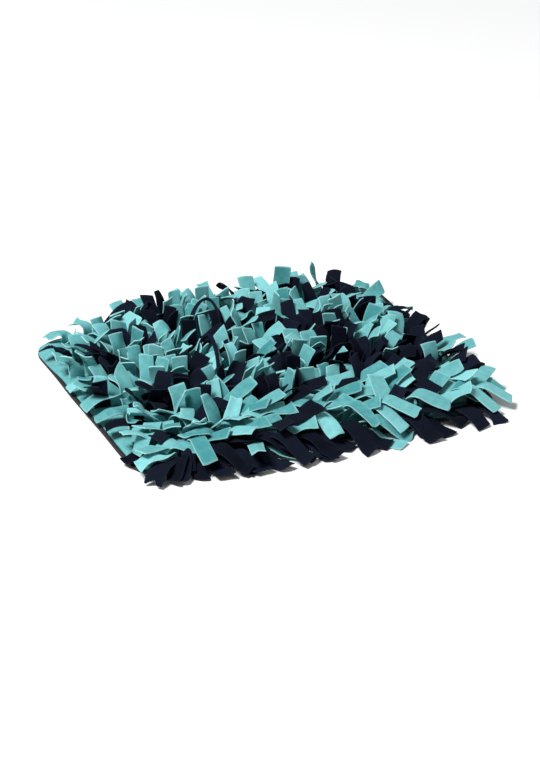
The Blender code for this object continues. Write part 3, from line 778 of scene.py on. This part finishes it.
def try_poses(line, root, width, chance):
    """A strip's poses to try: those of its line first, then shorter ones that stand up in the room left."""
    for attempt in range(TRIES):
        pose = pose_strip(line, root, width, chance)
        if attempt > FIRST_TRIES:
            pose = pose._replace(
                root_lift=min(pose.root_lift + chance.uniform(*LATER_ROOT), 90.0),
                tip_lift=pose.tip_lift + chance.uniform(*LATER_TIP),
                heading=pose.heading + chance.gauss(0.0, LATER_HEADING_SPREAD),
                length=pose.length * chance.uniform(*LATER_LENGTH),
            )
        yield pose


def row_lines(row):
    """The names and places of a row's front and back line of strips."""
    return ("front", row.y - seam_offset), ("back", row.y + seam_offset)


seam_offset = (BAND_WIDTH - FLEECE) / 2
set_by_hand = {item[:3]: Set(*item) for item in SET_STRIPS}
sewn_places = []
for number, row in enumerate(ROWS, start=1):
    for pair, (x, width) in enumerate(row_pairs(number)):
        for line, y in row_lines(row):
            sewn_places.append(((number, pair, line), Vector((x, y, BAND_TOP)), width))
sewn_places.sort(key=lambda place: place[0] not in set_by_hand)
placed = []
laid_strips = []


def lay_strip(key, root, poses, test_from=0, keep_from=0):
    """Lay a strip in the first of its poses that stays within the pile's reach and crosses no other strip.
    Its own test leaves out its rings before test_from, and later strips' tests those before keep_from."""
    near = [tree for spot, tree in placed if (spot - root).length < NEAR]
    for pose in poses:
        rings = strip_rings(pose, CLEARANCE)
        tree = strip_tree(rings[test_from:])
        if inside_pile(rings, key in set_by_hand) and not any(tree.overlap(other) for other in near):
            placed.append((root, strip_tree(rings[keep_from:])))
            laid_strips.append((key, pose))
            break


for key, root, width in sewn_places:
    number, pair, line = key
    chance = random.Random(strip_seed(key, *SEWN_SEEDS))
    poses = try_poses(getattr(ROWS[number - 1], line), root, width, chance)
    if key in set_by_hand:
        poses = [set_pose(set_by_hand[key], root, width)]
    lay_strip(key, root, poses)

# Squeezed strips: more of the same fleece, sewn in between the folded pieces of each seam, between the seams
# of the front rows, and at the left ends of the rear rows. They rest on their neighbours' lower halves and
# clear the rest. The first row has them only in its first few gaps.
SQUEEZED_SEEDS = (50000, 1000, 20)
SQUEEZED_WIDTHS = (0.80, 1.0)
SQUEEZED_TRIES = 150
SQUEEZED_RISE = 0.0012
SQUEEZED_LIFT = 9.0
SQUEEZED_REST = 0.0040
LYING_ROWS = 3
PARTING = 6
BETWEEN_SEAMS = 0.016
# A strip between seams: its place among the pairs, and how far it sits to the side, in strip widths.
BETWEEN_PARTS = ((0.2, -0.2), (0.7, 0.3))
FIRST_ENDED = 5
LEFT_END = -0.5
END_OUT = 0.009


def squeezed_places():
    """The key and root of each strip that is squeezed in, from the front of the mat to its back."""
    for number, row in enumerate(ROWS, start=1):
        pairs = list(row_pairs(number))
        for gap, ((left, left_width), (right, right_width)) in enumerate(zip(pairs, pairs[1:])):
            middle = (left + left_width / 2 + right - right_width / 2) / 2
            for line, y in row_lines(row):
                if number > 1 or gap < PARTING:
                    yield (number, gap + 0.5, line), Vector((middle, y, BAND_TOP + SQUEEZED_RISE))
        if number >= FIRST_ENDED:
            for line, y in row_lines(row):
                yield (number, LEFT_END, line), Vector((BAND_LEFT - END_OUT, y, BAND_TOP))
        if number <= LYING_ROWS:
            for pair, (x, width) in enumerate(pairs):
                for part, shift in BETWEEN_PARTS:
                    place = Vector((x + width * shift, row.y + BETWEEN_SEAMS, BAND_TOP))
                    yield (number + 1, pair + part, "front"), place


for key, root in squeezed_places():
    number, pair, line = key
    chance = random.Random(strip_seed(key, *SQUEEZED_SEEDS))
    width = STRIP_WIDTH * ROWS[number - 1].wide * chance.uniform(*SQUEEZED_WIDTHS)
    poses = islice(try_poses(getattr(ROWS[number - 1], line), root, width, chance), SQUEEZED_TRIES)
    poses = (pose._replace(root_lift=min(pose.root_lift + SQUEEZED_LIFT, 90.0), rest=SQUEEZED_REST,
                           segments=MOST_SEGMENTS) for pose in poses)
    lay_strip(key, root, poses, test_from=2, keep_from=1)


# Strips: navy and mint fleece, cut with shears and folded over their seam. They hold a soft bend, cup a
# little across, and some fold lengthwise. The middle of each pair lies flat, sewn down to the ground.
RINGS = 24
ROOT_SINK = 0.0013
CORNER_EASE = 0.0011
CUP = 0.0013
FOLD_CHANCE = 0.18
FOLD = (0.35, 0.62)
RUFFLE = 0.0014
RUFFLE_TURN = 7.0
SWAY = 0.0013
SWAY_TURN = 4.2
WIDTH_WAVER = 0.025
WIDTH_TURN = 6.0
CREASE_ROUND = 0.02
CUP_LEVEL = 0.4
CREASE_LEVEL = 0.5
END_SHARE = 0.18
END_POWER = 1.5
END_SKEW = 0.0016
END_DIP = 0.0006
END_WAVER = 0.0005
END_WAVE = 3.0
TIP_OUT = 0.0005
END_ROUND = 0.9
END_THIN = 0.35
# How much painted highlight the cut end gets: on the ring before the tip, and on the tip.
HIGHLIGHT_NEAR_END = 0.35
HIGHLIGHT_AT_END = 0.9
LOWEST = 0.0001
TONE_SPREAD = 0.25
NOTCHED = (1, 0, "front")
NOTCH_DEPTH = 0.011
NOTCH_SIDE = 0.15
NOTCH_WIDTH = 0.55
MIDDLE_RINGS = 9
MIDDLE_OVER = 0.0006
MIDDLE_NARROW = 0.02
MIDDLE_THIN = 0.45
STITCH_DIP = 0.0006
DIP_REACH = 0.22
FINISH_SEEDS = (7000, 400, 20)
COLOUR_SEEDS = (30000, 400, 10)

# Where one colour gathers: the place, how far that reaches, and how much likelier navy is there, or mint
# where that is below zero.
GATHERED = (
    (0.193, -0.023, 0.050, 0.50), (0.111, -0.039, 0.040, 0.45), (0.019, -0.033, 0.045, 0.50),
    (0.212, -0.125, 0.045, 0.75), (0.190, -0.085, 0.035, 0.45), (0.235, -0.200, 0.060, 0.30),
    (0.112, -0.102, 0.030, 0.50), (0.158, -0.136, 0.028, 0.55), (0.205, -0.055, 0.020, 0.40),
    (-0.124, 0.215, 0.040, 0.40), (-0.179, 0.061, 0.035, 0.30), (0.010, 0.075, 0.042, 0.55),
    (-0.084, -0.075, 0.030, 0.35), (-0.178, -0.054, 0.022, 0.60), (-0.137, -0.099, 0.022, 0.60),
    (-0.028, -0.173, 0.020, 1.00), (-0.012, 0.180, 0.020, 0.40), (-0.034, -0.196, 0.022, 0.20),
    (-0.122, -0.197, 0.022, 0.40), (-0.150, 0.020, 0.050, -0.45), (-0.085, 0.035, 0.050, -0.45),
    (0.150, 0.090, 0.055, -0.35), (0.065, -0.006, 0.035, -0.35), (-0.190, -0.110, 0.050, -0.40),
    (0.100, -0.180, 0.045, -0.40), (-0.165, 0.118, 0.060, -0.50), (0.158, -0.005, 0.035, -0.60),
    (0.070, 0.150, 0.050, -0.60), (-0.187, -0.006, 0.035, -0.35), (-0.093, -0.197, 0.014, -1.20),
    (-0.122, 0.138, 0.022, -0.50), (-0.108, -0.040, 0.035, -0.50), (-0.030, -0.053, 0.025, -0.60),
    (0.010, -0.140, 0.032, -0.45), (0.048, -0.196, 0.014, -1.20), (-0.045, 0.188, 0.025, -0.60),
)

# The section's points round a strip: the place across it, the share of its thickness, and how much painted
# highlight its cut edge gets.
SECTION = (
    (-0.965, 0.80, 0.55), (-0.86, 1.0, 0.05), (-0.46, 1.0, 0.0), (0.0, 1.0, 0.0), (0.46, 1.0, 0.0),
    (0.86, 1.0, 0.05), (0.965, 0.80, 0.55), (1.0, 0.0, 1.0),
    (0.965, -0.80, 0.55), (0.86, -1.0, 0.05), (0.46, -1.0, 0.0), (0.0, -1.0, 0.0), (-0.46, -1.0, 0.0),
    (-0.86, -1.0, 0.05), (-0.965, -0.80, 0.55), (-1.0, 0.0, 1.0),
)
section_u, section_face, section_edge_highlight = np.array(SECTION).T


def eased(values, count):
    """Values at evenly spaced places along a smooth curve through the given ones."""
    values = np.asarray(values, float)
    padded = np.vstack((2 * values[0] - values[1], values, 2 * values[-1] - values[-2]))
    places = np.linspace(0.0, len(values) - 1, count)
    low = np.minimum(places.astype(int), len(values) - 2)
    t = (places - low)[:, None]
    before, first, second, after = (padded[low + shift] for shift in range(4))
    return 0.5 * (2 * first + (second - before) * t + (2 * before - 5 * first + 4 * second - after) * t ** 2
                  + (3 * first - before - 3 * second + after) * t ** 3)


def unit(vectors):
    return vectors / np.linalg.norm(vectors, axis=-1, keepdims=True)


class Cut:
    """The strips of one colour in one row, gathered into one mesh."""

    def __init__(self):
        self.points, self.faces, self.tone, self.edge = [], [], [], []
        self.count = 0

    def loft(self, rings, edge, tone):
        """Add the surface through a strip's rings of points and close it at both ends."""
        size = len(SECTION)
        count = len(rings)
        first = self.count
        self.points.append(rings.reshape(-1, 3))
        self.edge.append(edge.reshape(-1))
        self.tone.append(np.full(count * size, tone))
        self.count += count * size
        for low in range(first, first + (count - 1) * size, size):
            self.faces += [(a, d, c, b) for a, b, c, d in between(low, low + size, size)]
        for low, turn in ((first, -1), (first + (count - 1) * size, 1)):
            self.faces.append((low, low + size - 1, low + size - 2)[::turn])
            for corner in range(size // 2 - 2):
                far = low + size - 2 - corner
                self.faces.append((low + corner, far, far - 1, low + corner + 1)[::turn])
            end = low + size // 2
            self.faces.append((end - 2, end, end - 1)[::turn])

    def strip(self, pose, key, chance):
        """Add a strip: a smooth bent one on its pose's coarse rings, with cupping, folds and cut ends."""
        coarse = strip_rings(pose._replace(segments=FINE_STEPS), 0.0)
        corners = np.array([[ring[corner] for corner in CORNERS] for ring in coarse])
        centre = eased(corners.mean(axis=1), RINGS + 1)
        across = eased((corners[:, 2] + corners[:, 3] - corners[:, 0] - corners[:, 1]) / 4, RINGS + 1)
        outward = unit(eased((corners[:, 1] + corners[:, 3] - corners[:, 0] - corners[:, 2]) / 4, RINGS + 1))
        along = unit(np.gradient(centre, axis=0))
        part = np.linspace(0.0, 1.0, RINGS + 1)
        half_w = pose.width / 2
        gain = part * part * (3.0 - 2.0 * part)
        folded = chance.random() < FOLD_CHANCE
        fold = chance.uniform(*FOLD) * chance.choice((-1, 1)) if folded else 0.0
        cup = chance.gauss(0.0, CUP)
        ruffle = chance.gauss(0.0, RUFFLE)
        sway = chance.gauss(0.0, SWAY)
        phases = [chance.uniform(0.0, 2 * math.pi) for index in range(4)]
        skew = chance.gauss(0.0, END_SKEW)
        centre = centre + unit(across) * (sway * gain * np.sin(phases[0] + part * SWAY_TURN))[:, None]
        span = 1.0 + WIDTH_WAVER * np.sin(phases[1] + part * WIDTH_TURN) * gain
        u = section_u[None, :]
        bowl = (cup * gain)[:, None] * (u * u - CUP_LEVEL)
        bowl = bowl + (ruffle * gain * np.sin(phases[2] + part * RUFFLE_TURN))[:, None] * u
        crease = (fold * half_w * gain)[:, None] * (np.sqrt(u * u + CREASE_ROUND) - CREASE_LEVEL)
        narrow = np.sqrt(1.0 - (fold * gain) ** 2)
        rings = centre[:, None, :] + across[:, None, :] * (u * (span * narrow)[:, None])[..., None]
        lift = section_face[None, :] * FLEECE / 2 + bowl + crease
        rings = rings + outward[:, None, :] * lift[..., None]
        near_tip = np.clip((part - (1.0 - END_SHARE)) / END_SHARE, 0.0, 1.0) ** END_POWER
        end = skew * section_u - END_DIP * section_u ** 2
        end = end + chance.gauss(0.0, END_WAVER) * np.sin(section_u * END_WAVE)
        if key == NOTCHED:
            end = end - NOTCH_DEPTH * np.clip(1.0 - np.abs(section_u + NOTCH_SIDE) / NOTCH_WIDTH, 0.0, 1.0)
        rings = rings + along[:, None, :] * (near_tip[:, None] * end[None, :])[..., None]
        ease = CORNER_EASE / half_w
        middle = rings[-1].mean(axis=0)
        last = rings[-1] + (middle - rings[-1]) * ease * END_ROUND + along[-1] * TIP_OUT
        last = last - outward[-1] * (section_face * FLEECE / 2 * END_THIN)[:, None]
        first = rings[0] - np.array((0.0, 0.0, ROOT_SINK))
        rings = np.concatenate((first[None], rings, last[None]))
        rings[..., 2] = np.maximum(rings[..., 2], LOWEST)
        # Painted highlight along the cut sides, stronger over the cut end at the tip.
        edge = np.repeat(section_edge_highlight[None, :], len(rings), axis=0)
        edge[-1] = np.maximum(edge[-1], HIGHLIGHT_AT_END)
        edge[-2] = np.maximum(edge[-2], HIGHLIGHT_NEAR_END)
        self.loft(rings, edge, chance.gauss(0.0, TONE_SPREAD))

    def sewn_middle(self, x, y, width, rise, chance):
        """The flat middle of a folded strip, drawn down where the stitches cross it."""
        places = np.linspace(-1.0, 1.0, MIDDLE_RINGS)
        rings = np.empty((len(places), len(SECTION), 3))
        half_y = BAND_WIDTH / 2 + MIDDLE_OVER
        for ring, place in zip(rings, places):
            ring[:, 0] = x + section_u * width / 2 * (1.0 - MIDDLE_NARROW * place * place)
            ring[:, 1] = y + place * half_y
            edge_ease = 1.0 - MIDDLE_THIN * abs(place) ** 6
            dip = STITCH_DIP * math.exp(-(place / DIP_REACH) ** 2)
            ring[:, 2] = BAND_BOTTOM + rise + BAND_THICKNESS / 2 * (1.0 + section_face * edge_ease) - dip
        # Painted highlight along its cut sides.
        edge = np.repeat(section_edge_highlight[None, :], len(places), axis=0)
        self.loft(rings[::-1], edge, chance.gauss(0.0, TONE_SPREAD))

    def piece(self, name, finish):
        made = mesh_object(name, np.concatenate(self.points), self.faces, finish)
        # The cut layer carries the painted edge highlight to the finish.
        for label, values in (("tone", self.tone), ("cut", self.edge)):
            layer = made.data.attributes.new(label, "FLOAT", "POINT")
            layer.data.foreach_set("value", np.concatenate(values))
        return made


cuts = {(number, colour): Cut() for number in range(1, len(ROWS) + 1) for colour in ("navy", "mint")}
pair_colours = {}
for key, pose in laid_strips:
    number, pair, line = key
    if (number, pair) not in pair_colours:
        chance = random.Random(strip_seed((number, pair, "front"), *COLOUR_SEEDS))
        share = ROWS[number - 1].navy + sum(
            more * smooth(1.0 - math.hypot(pose.root.x - x, pose.root.y - y) / reach)
            for x, y, reach, more in GATHERED)
        pair_colours[number, pair] = "navy" if chance.random() < share else "mint"
    colour = set_by_hand[key].colour if key in set_by_hand else pair_colours[number, pair]
    chance = random.Random(strip_seed(key, *FINISH_SEEDS))
    cuts[number, colour].strip(pose, key, chance)
    if line == "front":
        rise = SQUEEZED_RISE if pair % 1 else 0.0
        middle = pose.root.y + seam_offset
        cuts[number, pair_colours[number, pair]].sewn_middle(pose.root.x, middle, pose.width, rise, chance)


# Rolled strips: two long navy strips that have rolled up lengthwise from both edges. They loop over the top
# of the pile with their ends down between the others, and each is one of its row's navy strips.
ROLL_RADIUS = 0.0026
ROLL_LOBES = 0.30
ROLL_TWIST = 1.3
ROLL_TAPER = 0.35
ROLL_STEPS = 48
ROLL_TONE = 0.4
ROLL_EDGE_HIGHLIGHT = 0.5
ROLL_EDGE_CORNERS = (4, 12)
ROLLED_STRIPS = (
    (8, ((-0.058, 0.112, 0.026), (-0.056, 0.117, 0.036), (-0.047, 0.128, 0.050), (-0.034, 0.137, 0.059),
         (-0.022, 0.139, 0.061), (-0.017, 0.127, 0.057), (-0.017, 0.109, 0.048), (-0.018, 0.100, 0.034))),
    (6, ((-0.069, 0.064, 0.026), (-0.064, 0.059, 0.040), (-0.059, 0.050, 0.051), (-0.058, 0.036, 0.055),
         (-0.063, 0.011, 0.053), (-0.070, -0.014, 0.051), (-0.078, -0.037, 0.045), (-0.085, -0.054, 0.034),
         (-0.087, -0.058, 0.022))),
)
for number, route in ROLLED_STRIPS:
    centre = eased(route, ROLL_STEPS + 1)
    along = unit(np.gradient(centre, axis=0))
    side = unit(np.cross(along, (0.0, 0.0, 1.0)))
    over = np.cross(side, along)
    part = np.linspace(0.0, 1.0, ROLL_STEPS + 1)[:, None]
    around = np.arange(len(SECTION))[None, :] * 2 * math.pi / len(SECTION)
    reach = ROLL_RADIUS * (1.0 + ROLL_LOBES * np.cos(2 * around))
    reach = reach * (1.0 - ROLL_TAPER * np.abs(2 * part - 1) ** 6)
    turned = around + ROLL_TWIST * part
    rings = centre[:, None, :] + (reach * np.cos(turned))[..., None] * side[:, None, :]
    rings = rings + (reach * np.sin(turned))[..., None] * over[:, None, :]
    # Painted highlight along the rolled strips' cut edges, at two corners of their section.
    edge = np.zeros(rings.shape[:2])
    edge[:, ROLL_EDGE_CORNERS] = ROLL_EDGE_HIGHLIGHT
    cuts[number, "navy"].loft(rings, edge, ROLL_TONE)

# All the strips of one colour in one row are one piece, and two such pieces stand for the row.
for (number, colour), cut in cuts.items():
    if cut.count:
        finish = navy_fleece if colour == "navy" else mint_fleece
        piece = cut.piece(f"{colour}_strips_row_{number}", finish)
        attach(piece, "root")
        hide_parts(f"strip_row_{number}")


# Seams: one line of black thread runs along the middle of each row. Its stitches go through the folded
# strips and the ground, and hold them down.
SEAM_PITCH = 0.0052
SEAM_LENGTH = 0.0038
SEAM_SINK = 0.0004
seam_runs = []
for number, row in enumerate(ROWS, start=1):
    for index in range(round((BAND_RIGHT - BAND_LEFT) / SEAM_PITCH)):
        start = Vector((BAND_LEFT + index * SEAM_PITCH, row.y, BAND_TOP + SQUEEZED_RISE - SEAM_SINK))
        seam_runs.append((start, start + Vector((SEAM_LENGTH, 0.0, 0.0)), STITCH_RADIUS))
seam_stitches = stitches("seam_stitches", seam_runs, black_thread)
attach(seam_stitches, "root")
